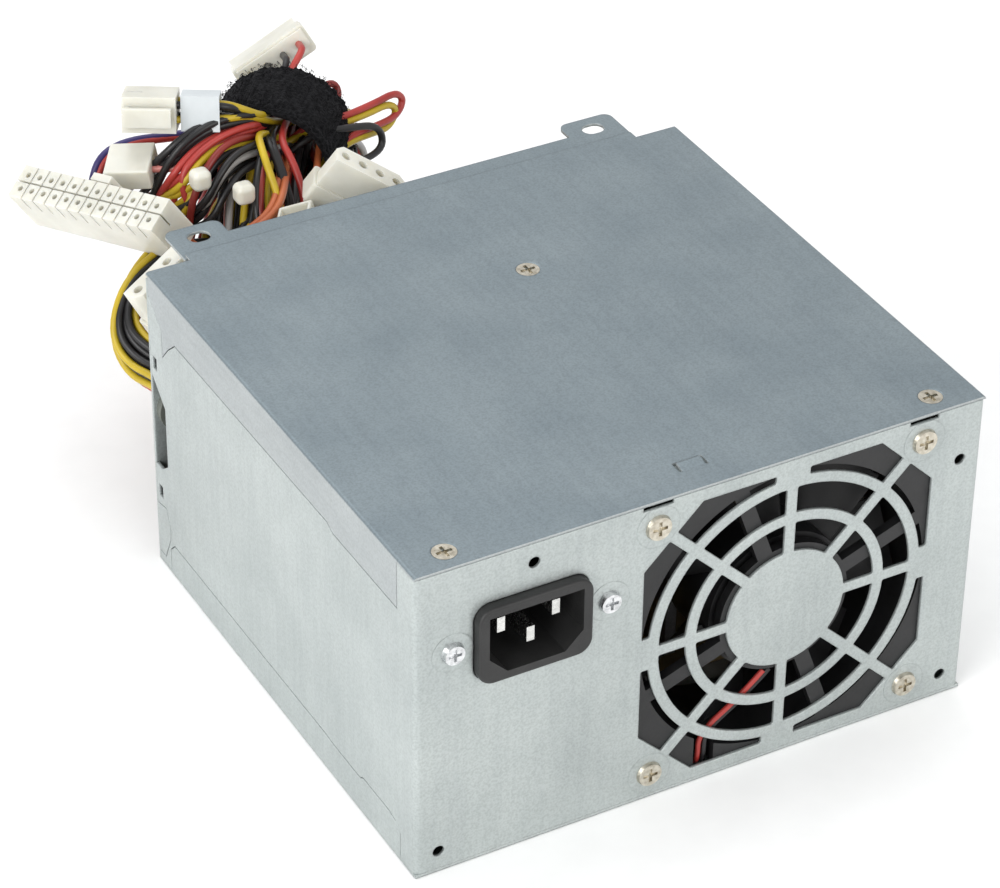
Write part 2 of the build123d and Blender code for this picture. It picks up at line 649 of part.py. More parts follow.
drive_right = Plane(origin=(-2.8, 90.5, 84), x_dir=(0.773, -0.323, -0.544), z_dir=(0.435, -0.348, 0.826))
drive_left = Plane(origin=(-65, 84.5, 76), x_dir=(-0.882, -0.212, -0.424), z_dir=(-0.449, 0.099, 0.887))
drive_top = Plane(origin=(5.1, 168, 78.4), x_dir=(0.874, -0.104, 0.477), z_dir=(0.275, 0.912, -0.305))
for place, label in ((drive_right, "drive_plug_right"), (drive_left, "drive_plug_left"),
                     (drive_top, "drive_plug_top")):
    drive_plug(place, label)


def beside(place, across, along, out):
    """The point of a plug's own frame, in the object's frame: along its rows, across them, and mating way."""
    return place.from_local_coords((along, across, out))


# Spring levers of the two locking plugs.  Each rocks on a short rib in the middle of the plug's long side.
LATCH_GAP, LATCH_T = 1.3, 1.4
for place, width, label in ((main_place, 6.4, "main"), (cpu_place, 5.0, "cpu")):
    lever_y = -ROW_HALF - LATCH_GAP - LATCH_T / 2
    with BuildPart() as lever:
        with BuildSketch(place.offset(-0.6)):
            with Locations((0, lever_y)):
                Rectangle(width, LATCH_T)
        extrude(amount=-12.4)
        with BuildSketch(place.offset(-0.6)):
            with Locations((0, -ROW_HALF - LATCH_GAP + 0.35)):
                Rectangle(width, 0.7)
        extrude(amount=-1.4)
        fillet(lever.edges().sort_by(Axis.Z)[-1:], radius=0.3)
    write(lever, f"{label}_latch")
    with BuildPart() as rib:
        with BuildSketch(place.offset(-6)):
            with Locations((0, -ROW_HALF - (LATCH_GAP - 0.3) / 2)):
                Rectangle(width * 0.6, LATCH_GAP - 0.3)
        extrude(amount=-1.6)
    write(rib, f"{label}_latch_rib")
    pivot = beside(place, lever_y + LATCH_T / 2, 0, -6.8)
    print(label, "latch pivot", [round(c, 3) for c in pivot], "axis", [round(c, 4) for c in place.x_dir])

with BuildPart() as cpu_label:
    with BuildSketch(cpu_place.offset(-15)):
        Rectangle(9.6, 5.4)
        Rectangle(8.6, 4.4, mode=Mode.SUBTRACT)
    extrude(amount=-10)
write(cpu_label, "cpu_label")

floppy_place = Plane(origin=(-56, 135.7, 75.6), x_dir=(0.55, 0.80, 0.2), z_dir=(-0.80, 0.58, -0.12))
small_place = Plane(origin=(-24, 92.5, 77), x_dir=(0.8, -0.5, 0.33), z_dir=(-0.27, 0.19, 0.94))
THICK, DEEP = 6.2, 12
for place, wide, label in ((floppy_place, 11.5, "floppy_plug"), (small_place, 9.0, "small_plug")):
    with BuildPart() as plug:
        with BuildSketch(place):
            Rectangle(wide, THICK)
        extrude(amount=-DEEP)
        fillet(plug.edges(), radius=0.5)
        with BuildSketch(place):
            Rectangle(wide - 1.6, THICK - 2.4)
        extrude(amount=-6, mode=Mode.SUBTRACT)
    write(plug, label)

# ---- leads between the hank and the plugs ---------------------------------------------------------------
tube([beside(main_place, 0, 0, -14), beside(main_place, 0, 0, -21), (-49.5, 123.5, 54), (-43, 123, 52)],
     4.5, "main_lead")
tube([beside(cpu_place, 0, 0, -14), beside(cpu_place, 0, 0, -20), beside(cpu_place, 0.4, 0, -27),
      (-22, 123, 87.5), (-16, 123.5, 83)], 2.1, "cpu_lead")
tube([beside(drive_right, 0, 0, -16), beside(drive_right, 0, 0, -24), (-14.5, 102.5, 58.5), (-12.5, 108.5, 58.5),
      (-9, 115, 62)], 2.2, "drive_lead_right")
tube([beside(drive_left, 0, 0, -16), beside(drive_left, 0, 0, -24), (-54, 86.5, 49), (-50.5, 92.5, 45.5),
      (-45.5, 99.5, 45)], 2.2, "drive_lead_left")
tube([beside(drive_top, 0, 0, -16), beside(drive_top, 0, 0, -20), (-2.8, 144.6, 80.2), (-6, 139.5, 77)],
     2.0, "drive_lead_top")
tube([beside(floppy_place, 0, 0, -12), beside(floppy_place, 0, 0, -17), (-38.5, 122.2, 77), (-33, 120.5, 75.5)],
     1.6, "floppy_lead")
tube([beside(small_place, 0, 0, -12), beside(small_place, 0, 0, -17), (-21.5, 91.5, 56.5), (-22, 94.5, 52)],
     1.2, "small_lead")
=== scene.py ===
# %% [markdown]
# # A desktop computer's power supply
# The case, fan, inlet and connectors arrive as a finished frame of rigid parts.  This lesson gives each
# of them its finish, and makes what is soft: the wires and the hook-and-loop strap.
# Everything is in metres, in the frame's own axes: +Z up, the grille panel faces -Y.

# %% Load the frame
import math

import bpy
import numpy as np
from mathutils import Matrix, Vector


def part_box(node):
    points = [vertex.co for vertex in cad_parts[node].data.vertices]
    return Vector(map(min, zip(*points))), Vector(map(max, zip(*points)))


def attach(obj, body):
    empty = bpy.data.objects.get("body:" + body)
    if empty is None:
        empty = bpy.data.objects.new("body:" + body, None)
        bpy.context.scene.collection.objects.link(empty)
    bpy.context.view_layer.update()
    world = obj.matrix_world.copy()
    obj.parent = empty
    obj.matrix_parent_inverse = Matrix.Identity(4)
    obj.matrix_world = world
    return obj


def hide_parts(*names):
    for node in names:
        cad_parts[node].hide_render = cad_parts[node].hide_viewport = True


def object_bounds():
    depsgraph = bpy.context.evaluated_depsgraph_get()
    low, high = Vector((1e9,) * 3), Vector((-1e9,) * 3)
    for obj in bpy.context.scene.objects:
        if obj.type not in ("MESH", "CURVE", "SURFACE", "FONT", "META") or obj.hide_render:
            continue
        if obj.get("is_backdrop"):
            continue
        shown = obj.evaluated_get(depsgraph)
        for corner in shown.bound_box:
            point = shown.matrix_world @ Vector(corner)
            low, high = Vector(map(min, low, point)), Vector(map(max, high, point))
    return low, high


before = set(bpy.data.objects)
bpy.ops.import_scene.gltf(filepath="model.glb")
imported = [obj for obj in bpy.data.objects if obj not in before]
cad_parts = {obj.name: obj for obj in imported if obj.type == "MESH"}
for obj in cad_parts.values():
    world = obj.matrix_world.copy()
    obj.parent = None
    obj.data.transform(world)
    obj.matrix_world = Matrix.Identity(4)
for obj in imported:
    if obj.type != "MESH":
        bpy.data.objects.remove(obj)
cad_low, cad_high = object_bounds()
MM = 0.001

# %% [markdown]
# ## Camera, floor and light
# The view is from the front left and above, through a long lens, so the case shows its panel, its left
# side and its top with little perspective.  The camera's axes are worked out from where it stands, the
# point it looks at and a small roll, and its place is set once as a matrix.

# %% Camera
CAMERA_AT = Vector((-0.3806, -0.6557, 0.5852))
LOOKS_AT = Vector((-0.03398, -0.03398, 0.0860))
ROLL = math.radians(0.63)
LENS = 137.7                    # millimetres on the 36 mm sensor

camera_data = bpy.data.cameras.new("camera")
camera_data.lens = LENS
camera_data.clip_start, camera_data.clip_end = 0.05, 20
camera = bpy.data.objects.new("camera", camera_data)
bpy.context.collection.objects.link(camera)
facing = (LOOKS_AT - CAMERA_AT).to_track_quat("-Z", "Y").to_matrix().to_4x4()
camera.matrix_world = Matrix.Translation(CAMERA_AT) @ facing @ Matrix.Rotation(ROLL, 4, "Z")
bpy.context.scene.camera = camera
print("camera", [round(c, 3) for c in camera.location])

# %% Floor, lamps and sky


def grid_mesh(name, points, closed_u=False, closed_v=False):
    """A surface from an array of points with shape (rows, columns, 3); either way may be closed."""
    rows, columns = points.shape[:2]
    u = np.arange(rows if closed_u else rows - 1)
    v = np.arange(columns if closed_v else columns - 1)
    a, b = np.meshgrid(u, v, indexing="ij")
    a2, b2 = (a + 1) % rows, (b + 1) % columns
    quads = np.stack([a * columns + b, a2 * columns + b, a2 * columns + b2, a * columns + b2], axis=-1)
    mesh = bpy.data.meshes.new(name)
    mesh.from_pydata(points.reshape(-1, 3).tolist(), [], quads.reshape(-1, 4).tolist())
    mesh.polygons.foreach_set("use_smooth", np.ones(len(mesh.polygons), dtype=bool))
    mesh.update()
    return mesh


def add_object(name, data, material=None):
    """Link a mesh or curve as an object at the origin, with its material."""
    piece = bpy.data.objects.new(name, data)
    bpy.context.collection.objects.link(piece)
    if material:
        data.materials.append(material)
    return piece


FLOOR_HALF = 6.0
corner = np.array([-FLOOR_HALF, FLOOR_HALF])
x, y = np.meshgrid(corner, corner, indexing="ij")
floor = add_object("floor", grid_mesh("floor", np.stack([x, y, np.full_like(x, -0.0002)], axis=-1)))
floor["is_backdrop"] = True

LAMPS = (  # name, place, size, power in watts, colour
    ("left_softbox", (-1.3, -0.5, 0.75), 1.0, 15.0, (1.0, 1.0, 1.0)),
    ("front_softbox", (0.5, -1.6, 0.9), 1.0, 10.0, (1.0, 0.99, 0.97)),
    ("top_softbox", (-0.1, 0.7, 1.5), 1.2, 9.0, (0.96, 0.98, 1.0)),
)
for name, place, size, power, colour in LAMPS:
    lamp_data = bpy.data.lights.new(name, "AREA")
    lamp_data.shape, lamp_data.size = "SQUARE", size
    lamp_data.energy, lamp_data.color = power, colour
    lamp = bpy.data.objects.new(name, lamp_data)
    bpy.context.collection.objects.link(lamp)
    aim = (Vector((0, 0.02, 0.04)) - Vector(place)).to_track_quat("-Z", "Y").to_matrix().to_4x4()
    lamp.matrix_world = Matrix.Translation(Vector(place)) @ aim

world = bpy.data.worlds.new("studio")
bpy.context.scene.world = world
world.use_nodes = True
sky = world.node_tree.nodes["Background"]
sky.inputs["Color"].default_value = (1.0, 1.0, 1.0, 1.0)
sky.inputs["Strength"].default_value = 0.75
bpy.context.scene.view_settings.view_transform = "Standard"

# %% [markdown]
# ## The recipe that every finish shares
# A moulded or plated surface is one shader with three layers of small detail: a colour that wavers a
# little, a gloss that wavers with it, and a fine bump.  One function lays these down from noise on
# Object coordinates, in metres, so a pattern's size is a real size.

# %% Material helper


def new_material(name, colour, roughness, metallic=0.0, **sockets):
    """A material and its shader; uniform values go straight on the shader's own sockets."""
    material = bpy.data.materials.new(name)
    material.use_nodes = True
    shader = material.node_tree.nodes["Principled BSDF"]
    shader.inputs["Base Color"].default_value = (*colour, 1)
    shader.inputs["Roughness"].default_value = roughness
    shader.inputs["Metallic"].default_value = metallic
    for socket, value in sockets.items():
        shader.inputs[socket.replace("_", " ")].default_value = value
    return material, shader


def noise(material, size, detail=4.0, stretch=(1, 1, 1)):
    """Noise whose blobs are about `size` metres across; stretch thins it along an axis."""
    tree = material.node_tree
    where = tree.nodes.new("ShaderNodeTexCoord")
    mapping = tree.nodes.new("ShaderNodeMapping")
    mapping.inputs["Scale"].default_value = stretch
    texture = tree.nodes.new("ShaderNodeTexNoise")
    texture.inputs["Scale"].default_value = 1 / size
    texture.inputs["Detail"].default_value = detail
    tree.links.new(where.outputs["Object"], mapping.inputs["Vector"])
    tree.links.new(mapping.outputs["Vector"], texture.inputs["Vector"])
    return texture.outputs["Fac"]


def ramp(material, factor, low, high, start=0.35, end=0.65):
    """Colours from low to high as the factor goes from start to end."""
    node = material.node_tree.nodes.new("ShaderNodeValToRGB")
    node.color_ramp.elements[0].position, node.color_ramp.elements[1].position = start, end
    node.color_ramp.elements[0].color = (*low, 1)
    node.color_ramp.elements[1].color = (*high, 1)
    material.node_tree.links.new(factor, node.inputs["Fac"])
    return node.outputs["Color"]


def mix(material, factor, a, b, way="MIX"):
    """Blend of two colours by a factor, either of which may be a socket or a plain value."""
    node = material.node_tree.nodes.new("ShaderNodeMix")
    node.data_type, node.blend_type = "RGBA", way
    for socket, value in ((node.inputs[0], factor), (node.inputs[6], a), (node.inputs[7], b)):
        if isinstance(value, bpy.types.NodeSocket):
            material.node_tree.links.new(value, socket)
        else:
            socket.default_value = value
    return node.outputs[2]


def bump(material, shader, height, depth):
    """A bump of that real depth, in metres, on the shader."""
    node = material.node_tree.nodes.new("ShaderNodeBump")
    node.inputs["Distance"].default_value = depth
    node.inputs["Strength"].default_value = 1.0
    material.node_tree.links.new(height, node.inputs["Height"])
    material.node_tree.links.new(node.outputs["Normal"], shader.inputs["Normal"])


def rough_between(material, shader, factor, low, high):
    """Roughness that follows a factor between two values."""
    node = material.node_tree.nodes.new("ShaderNodeMapRange")
    node.inputs["To Min"].default_value, node.inputs["To Max"].default_value = low, high
    material.node_tree.links.new(factor, node.inputs["Value"])
    material.node_tree.links.new(node.outputs["Result"], shader.inputs["Roughness"])


def plain_plastic(name, dark, light, roughness, grain=0.0008, depth=0.00002, **sockets):
    """Moulded plastic: two close tones, a fine spark-eroded grain."""
    material, shader = new_material(name, light, roughness, **sockets)
    tone = ramp(material, noise(material, 0.012), dark, light)
    material.node_tree.links.new(tone, shader.inputs["Base Color"])
    grain_noise = noise(material, grain, detail=2.0)
    rough_between(material, shader, grain_noise, roughness - 0.07, roughness + 0.07)
    bump(material, shader, grain_noise, depth)
    return material


floor_paint = plain_plastic("floor_paint", (0.93, 0.93, 0.93), (0.95, 0.95, 0.95), 0.6, grain=0.004)
floor.data.materials.append(floor_paint)

# %% [markdown]
# ## Wires
# A loose output wire is a copper strand in PVC, two millimetres thick and springy.  Each is one open
# NURBS spline: out of the bush, one to one and a half times round the standing oval hank, through the
# strap, and off to its own contact in a connector.  The loom's run and each way out are listed points,
# and the turns of the hank are worked out by a loop.  Every wire keeps near its own place in the bundle.

# %% Wire colours


def wire_skin(name, dark, light):
    """PVC insulation: smooth and slightly glossy, with faint handling marks."""
    return plain_plastic(name, dark, light, 0.36, grain=0.003, depth=0.00003, Specular_IOR_Level=0.45)


WIRE_SKINS = {
    "yellow": wire_skin("pvc_yellow", (0.42, 0.30, 0.014), (0.54, 0.39, 0.022)),
    "black": wire_skin("pvc_black", (0.008, 0.008, 0.009), (0.018, 0.017, 0.018)),
    "red": wire_skin("pvc_red", (0.31, 0.028, 0.024), (0.42, 0.044, 0.036)),
    "dark_red": wire_skin("pvc_dark_red", (0.16, 0.016, 0.014), (0.24, 0.026, 0.020)),
    "orange": wire_skin("pvc_orange", (0.38, 0.095, 0.034), (0.47, 0.13, 0.048)),
    "violet": wire_skin("pvc_violet", (0.030, 0.022, 0.11), (0.045, 0.033, 0.15)),
    "grey": wire_skin("pvc_grey", (0.28, 0.27, 0.26), (0.36, 0.35, 0.34)),
    "pink": wire_skin("pvc_pink", (0.50, 0.17, 0.15), (0.60, 0.22, 0.19)),
}

# %% Where the connectors are


def place(at, along, mate):
    """A connector's own frame: columns are along its rows, across them, and the way it mates; then where."""
    along, mate = np.array(along) / np.linalg.norm(along), np.array(mate) / np.linalg.norm(mate)
    mate = mate - along * (mate @ along)
    mate /= np.linalg.norm(mate)
    return np.array([along, np.cross(mate, along), mate]), np.array(at, dtype=float)


def spot(where, along, across, out):
    """A point of a connector's frame in the object's frame, all in millimetres."""
    axes, at = where
    return at + along * axes[0] + across * axes[1] + out * axes[2]


MAIN = place((-67.3, 123.4, 76.4), (-0.38, 0.906, -0.18), (-0.544, -0.062, 0.838))
CPU = place((-50, 138, 90), (0.1, 0.18, 0.98), (-0.85, 0.51, -0.0069))
DRIVE_RIGHT = place((-2.8, 90.5, 84), (0.773, -0.323, -0.544), (0.435, -0.348, 0.826))
DRIVE_LEFT = place((-65, 84.5, 76), (-0.882, -0.212, -0.424), (-0.449, 0.099, 0.887))
DRIVE_TOP = place((5.1, 168, 78.4), (0.874, -0.104, 0.477), (0.275, 0.912, -0.305))
FLOPPY = place((-56, 135.7, 75.6), (0.55, 0.80, 0.2), (-0.80, 0.58, -0.12))
SMALL = place((-24, 92.5, 77), (0.8, -0.5, 0.33), (-0.27, 0.19, 0.94))

# %% The loom's run and the hank's turns
WIRE_R = 1.0
LOOM = np.array([  # middle of the loom, from the bush to where it joins the hank
    (-60.5, 71.5, 45.6), (-61.5, 79.5, 45.3), (-66.2, 89.0, 45.6), (-67.6, 98.0, 51.0),
    (-61.5, 106.0, 58.0), (-51.0, 111.5, 60.0), (-42.0, 116.0, 58.0)], dtype=float)
LOOM_WIDE = np.array([8.3, 8.4, 7.6, 7.2, 7.2, 7.4, 7.4])     # half width of the bundle at each of them
LOOM_HIGH = np.array([2.5, 5.0, 8.6, 7.6, 7.0, 7.0, 7.0])
LOOM_SIDE = np.array([(1, 0, 0), (1, 0.1, 0), (0.9, -0.3, 0.3), (0.95, 0.15, -0.1), (0.75, 0.35, -0.55),
                      (0.55, 0.1, -0.75), (0.5, -0.1, -0.7)], dtype=float)
LOOM_UP = np.array([(0, 0, 1), (0, 0, 1), (-0.2, -0.3, 0.9), (-0.35, -0.6, 0.7), (-0.5, -0.7, 0.5),
                    (0, -0.9, 0.3), (0.6, -0.7, 0.2)], dtype=float)
HANK_AT = np.array((-8, 136, 42.5))
ALONG = np.array((0.65, 0.76, 0)) / math.hypot(0.65, 0.76)
ACROSS = np.array((0.76, -0.65, 0)) / math.hypot(0.65, 0.76)
UP = np.array((0, 0, 1.0))
HALF_LONG, HALF_TALL = 35.0, 24.5
BUNDLE = 14.0                   # half thickness of the hank
TURN_STEP = 27                  # degrees between a wire's points in the hank, about
TWIST = 150                     # degrees that the bundle twists in one turn
WANDER = 1.5                    # how far a wire moves about its place in the bundle
LOWEST_MIDDLE = 2.2             # a wire's middle stays this far above the floor
GOLDEN_ANGLE = 2.39996
rng = np.random.default_rng(11)


def hank_point(turn, out, side):
    """A point of the oval at an angle in degrees, moved out from its middle line and to one side."""
    c, s = math.cos(math.radians(turn)), math.sin(math.radians(turn))
    return HANK_AT + ALONG * ((HALF_LONG + out) * c) + UP * ((HALF_TALL + out) * s) + ACROSS * side


def in_bundle(number, count):
    """The sunflower rule: even places in a round bundle, from -1 to 1 each way."""
    reach, angle = math.sqrt((number + 0.5) / count), number * GOLDEN_ANGLE
    return reach * math.cos(angle), reach * math.sin(angle)


def loom_points(u, v):
    """The wire's place at each station of the loom."""
    return LOOM + LOOM_SIDE * (u * LOOM_WIDE)[:, None] + LOOM_UP * (v * LOOM_HIGH)[:, None]


STRAY_FROM, STRAY_TO = 240, 460     # angles between which a stray loop takes the place of the turn


def hank_points(u, v, first, last, stray):
    """The turns: a wire keeps near its place in the bundle, wanders, and may leave it once for a stray loop."""
    steps = int(round(abs(last - first) / TURN_STEP))
    turns = np.linspace(first, last, steps + 1)[:-1]
    wander = rng.normal(0, 1, (steps + 1, 2))
    wander = WANDER * (wander[:-1] + wander[1:]) / 2
    points = []
    for number, turn in enumerate(turns):
        # a stray loop takes the place of the turn's rise round the hank's far end
        if len(stray) and STRAY_FROM < turn < STRAY_TO:
            if turn - (TURN_STEP + 0.5) <= STRAY_FROM:      # the first point in the gap
                points.extend(stray)
            continue
        twist = math.radians(TWIST * (turn - first) / 360)
        out = BUNDLE * 0.92 * (u * math.cos(twist) - v * math.sin(twist)) + wander[number][0]
        side = BUNDLE * (u * math.sin(twist) + v * math.cos(twist)) + wander[number][1]
        # the hank spreads where nothing ties it, and draws in under the strap
        tied = math.exp(-((abs(turn) % 360 - 90) / 30) ** 2)
        point = hank_point(turn, out * (1.08 - 0.1 * tied), side * (1.1 - 0.05 * tied))
        point[2] = max(point[2], LOWEST_MIDDLE)
        points.append(point)
    return np.array(points)


def wire_object(name, points, skin, radius=WIRE_R):
    """One open NURBS spline with these control points, in millimetres, and a round section.

    The wire's radius is kept on the points, times a bevel of one metre, so that the curve's own bounding
    box is the wire's.
    """
    curve = bpy.data.curves.new(name, "CURVE")
    curve.dimensions = "3D"
    curve.bevel_depth, curve.bevel_resolution, curve.use_fill_caps = 1.0, 2, True
    curve.resolution_u = 5
    spline = curve.splines.new("NURBS")
    spline.points.add(len(points) - 1)
    coordinates = np.column_stack([np.array(points) * MM, np.ones(len(points))])
    spline.points.foreach_set("co", coordinates.ravel())
    spline.points.foreach_set("radius", np.full(len(points), radius * MM))
    spline.order_u = 3
    spline.use_endpoint_u = True
    return add_object(name, curve, WIRE_SKINS[skin])


def spline_length(piece):
    """Length of the curve's own line, in metres, from a copy with no thickness."""
    depth = piece.data.bevel_depth
    piece.data.bevel_depth = 0
    line = bpy.data.meshes.new_from_object(piece)
    piece.data.bevel_depth = depth
    points = np.empty(len(line.vertices) * 3)
    line.vertices.foreach_get("co", points)
    bpy.data.meshes.remove(line)
    return float(np.linalg.norm(np.diff(points.reshape(-1, 3), axis=0), axis=1).sum())


# %% [markdown]
# ### Ways out of the strap
# The wires leave the strap's near mouth in sheaves.  Most fan out to the left in arcs, by colour, and go
# down behind the main plug and into its back.  The orange ones stay in front and run along to its near
# end.  Each list below is the middle of one sheaf, and a wire keeps its own place beside it.

# %% Sheaves
ARCHES = {  # name: middle line of the sheaf, half thickness
    "black": ([(-16, 126, 84), (-27.8, 124.5, 87.0), (-36.5, 124.5, 85.6), (-45.5, 124.5, 79.6)], 2.6),
    "red": ([(-17, 125, 82.5), (-28.4, 123, 83.8), (-38.1, 121.5, 81.3), (-45, 120, 75.5)], 2.4),
    "yellow": ([(-18, 124, 80.5), (-29.1, 121, 81.9), (-37.2, 118.5, 79.3), (-43.7, 117, 73.5)], 2.6),
    "inner": ([(-20, 121, 78.5), (-29.6, 118, 80.0), (-36.2, 115, 76.6), (-41.5, 113.5, 69.0)], 3.6),
    "far": ([(-18, 131, 80), (-35.1, 140, 76.5), (-47.1, 142.5, 77), (-55.5, 142, 74.7), (-59.5, 139, 67.5)], 1.4),
}
ORANGE_RUN = ([(-17, 113, 75), (-24.5, 101, 72.5), (-34, 95.5, 71.5), (-42, 97.0, 68.5)], 1.8)
CPU_RUN = ([(-16, 126, 83.5), (-21.5, 125, 87.2)], 1.6)
RIGHT_RUNS = {
    "yellow": ([(-20, 123.5, 84.5), (-22.8, 113, 82.0), (-22.8, 103, 72.0), (-23.5, 99.5, 60), (-20, 98.2, 51.5),
                (-13.5, 97.8, 52.5)], 0.8),
    "black": ([(-17.5, 122, 83), (-17.8, 113, 77), (-18.8, 104, 68), (-21.5, 100, 59), (-19.0, 98.5, 51.5),
               (-13.0, 98.2, 53)], 1.2),
    "red": ([(-15, 122, 82), (-13.9, 113, 76.6), (-14.2, 106, 68), (-18.5, 101.5, 60), (-18.5, 99, 52.5),
             (-12.6, 98.4, 53.5)], 0.8),
}
LEFT_RUN = ([(-33, 106, 66), (-40, 99, 56), (-47, 92, 50)], 2.6)
TOP_RUN = ([(-9, 134, 75.5), (-4.5, 142.5, 80.5)], 1.8)
FLOPPY_RUN = ([(-22, 123.5, 78), (-33, 121.5, 76.5)], 1.5)
SMALL_RUN = ([(-18, 120, 80), (-25, 110.5, 78), (-28.8, 104, 69), (-28.5, 97, 59), (-24, 91.5, 51.5)], 1.3)
RISE = [(-10, 131, 27), (3, 136, 38), (3, 130, 53), (-1, 124.5, 65)]     # up through the hank's eye
STRAYS = {  # loops that hang out of the hank on the strap's right
    "red": RISE + [(8.5, 127.5, 71), (20.5, 132.0, 69.2), (27.5, 135.4, 68.2), (31.2, 137.9, 71.2),
                   (28.0, 136.8, 74.8), (20.5, 134.0, 74.8), (7, 130, 75.5), (-4, 129, 77)],
    "yellow": RISE + [(7.5, 126.5, 70), (19.0, 131.2, 67.8), (24.6, 134.0, 66.4), (28.4, 136.5, 69.4),
                      (25.2, 135.3, 72.9), (18.0, 132.8, 73.0), (7, 129.5, 74), (-4, 129, 75.5)],
    "black": RISE + [(4, 121.5, 67.5), (12.5, 123.6, 65), (19.6, 127.0, 65.6), (18.4, 128.0, 71.8),
                     (9.5, 126.0, 74.6), (-4, 124.5, 77)],
    "dark_red": RISE + [(0, 134, 69.5), (8, 139.5, 71), (15.0, 143.6, 73), (14.4, 146, 77.5),
                        (6, 142.5, 77.6), (-6, 133, 78)],
}


def pins(where, columns, rows, pitch, depth):
    """Contact places of a connector, row by row, at the wire side."""
    return [(where, (c - (columns - 1) / 2) * pitch, (r - (rows - 1) / 2) * pitch, -depth)
            for r in range(rows) for c in range(columns)]


# each wire: colour, contact, sheaf, connector, first and last angle in the hank, stray loop
JOINS, LEAVES = 232, 795
TOP_JOINS, TOP_LEAVES = 150, -250
PITCH, DRIVE_PITCH, SMALL_PITCH = 4.2, 5.08, 2.6
DEEP, DRIVE_DEEP, SMALL_DEEP = 13.4, 15.4, 11.4     # from the mating face back to where the wires end
main_pins = sorted(pins(MAIN, 12, 2, PITCH, DEEP), key=lambda pin: -pin[1])     # far end first
MAIN_WIRES = [("red", "far"), ("violet", "far"), ("black", "black"), ("yellow", "yellow"), ("black", "black"),
              ("grey", "inner"), ("red", "red"), ("black", "black"), ("yellow", "yellow"), ("black", "inner"),
              ("red", "red"), ("black", "black"), ("yellow", "yellow"), ("black", "inner"), ("red", "red"),
              ("black", "inner"), ("yellow", "inner"), ("black", "inner"), ("red", "red"), ("dark_red", "inner")]
plan = []
for number, ((colour, arch), pin) in enumerate(zip(MAIN_WIRES, main_pins)):
    stray = {6: "red", 8: "yellow", 13: "black", 19: "dark_red"}.get(number)
    plan.append((colour, pin, ARCHES[arch], "main_plug", JOINS, LEAVES, STRAYS.get(stray, ())))
for pin in main_pins[len(MAIN_WIRES):]:
    plan.append(("orange", pin, ORANGE_RUN, "main_plug", JOINS, LEAVES, ()))
for colour, pin in zip(("yellow", "black", "black", "yellow"), pins(CPU, 2, 2, PITCH, DEEP)):
    plan.append((colour, pin, CPU_RUN, "cpu_plug", JOINS, LEAVES, ()))
for colour, pin in zip(("yellow", "black", "black", "red"), pins(DRIVE_RIGHT, 4, 1, DRIVE_PITCH, DRIVE_DEEP)):
    plan.append((colour, pin, RIGHT_RUNS[colour], "drive_plug_right", JOINS, LEAVES, ()))
for colour, pin in zip(("red", "black", "black", "yellow"), pins(DRIVE_LEFT, 4, 1, DRIVE_PITCH, DRIVE_DEEP)):
    plan.append((colour, pin, LEFT_RUN, "drive_plug_left", JOINS, LEAVES + 20, ()))
for colour, pin in zip(("yellow", "black", "black", "red"), pins(DRIVE_TOP, 4, 1, DRIVE_PITCH, DRIVE_DEEP)):
    plan.append((colour, pin, TOP_RUN, "drive_plug_top", TOP_JOINS, TOP_LEAVES, ()))
for colour, pin in zip(("pink", "yellow"), pins(FLOPPY, 2, 1, SMALL_PITCH, SMALL_DEEP)):
    plan.append((colour, pin, FLOPPY_RUN, "floppy_plug", JOINS, LEAVES, ()))
for colour, pin in zip(("dark_red", "black"), pins(SMALL, 2, 1, SMALL_PITCH, SMALL_DEEP)):
    plan.append((colour, pin, SMALL_RUN, "small_plug", JOINS, LEAVES, ()))
print("wires", len(plan))

# %% Make the wires
LEAD_OF = {"main_plug": "main_lead", "cpu_plug": "cpu_lead", "drive_plug_right": "drive_lead_right",
           "drive_plug_left": "drive_lead_left", "drive_plug_top": "drive_lead_top",
           "floppy_plug": "floppy_lead", "small_plug": "small_lead"}
MAIN_SIDE = -MAIN[0][1]         # towards the plug's latch: its wires come round that side
# two yellow wires lie outermost in the loom, red and pink ones lowest, and black ones fill the gap
OUTERMOST, LOWEST = (3, 24), (6, 10, 36)
LEFTNESS = {"black": -1.0, "grey": -0.4, "yellow": 0.3, "red": 0.4, "orange": 0.5, "dark_red": 0.6,
            "pink": 0.7, "violet": 0.8}
free = [in_bundle(n, len(plan)) for n in range(len(plan))]
place_of = {}
for chosen, nearness in ((OUTERMOST, lambda p: p[0] - 0.2 * p[1]), (LOWEST, lambda p: p[1] + 0.7 * p[0])):
    for wire in chosen:
        place_of[wire] = min(free, key=nearness)
        free.remove(place_of[wire])
free.sort(key=lambda p: p[0])
rest = sorted((n for n in range(len(plan)) if n not in place_of),
              key=lambda n: (LEFTNESS[plan[n][0]], n * 7 % 11))     # wires of one colour are mixed
place_of.update(zip(rest, free))
sheaf_count = {}
SHEAF_PLACES = 4
HANK_SHUFFLE = 17               # neighbours in the plan lie far apart in the hank
DECLARED = 40
wires = []
